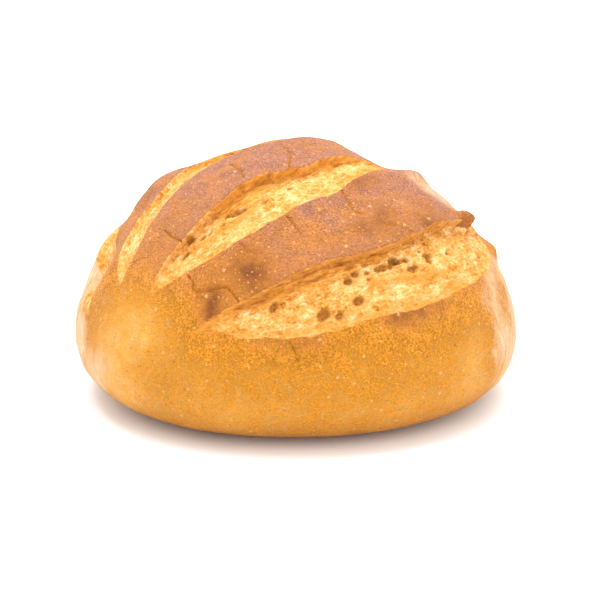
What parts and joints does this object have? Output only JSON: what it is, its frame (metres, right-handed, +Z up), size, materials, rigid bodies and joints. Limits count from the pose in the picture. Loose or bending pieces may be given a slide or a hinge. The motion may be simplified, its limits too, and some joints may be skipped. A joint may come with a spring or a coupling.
{
  "type": "round bread loaf",
  "caption": "Round hearth-baked loaf with a flat base, four open slashes across its crown and a browned crust.",
  "frame": {"origin": "middle of the flat base that the loaf rests on", "axes": "+Z up through the crown; +X along the loaf's longer width; -Y towards the side that shows three slashes"},
  "size_m": [0.2, 0.1714, 0.1173],
  "materials": {
    "crust": "baked crust, golden brown, satin, with pale crumb in the slashes"
  },
  "bodies": {
    "root": {"loaf": "crust"}
  },
  "joints": []
}
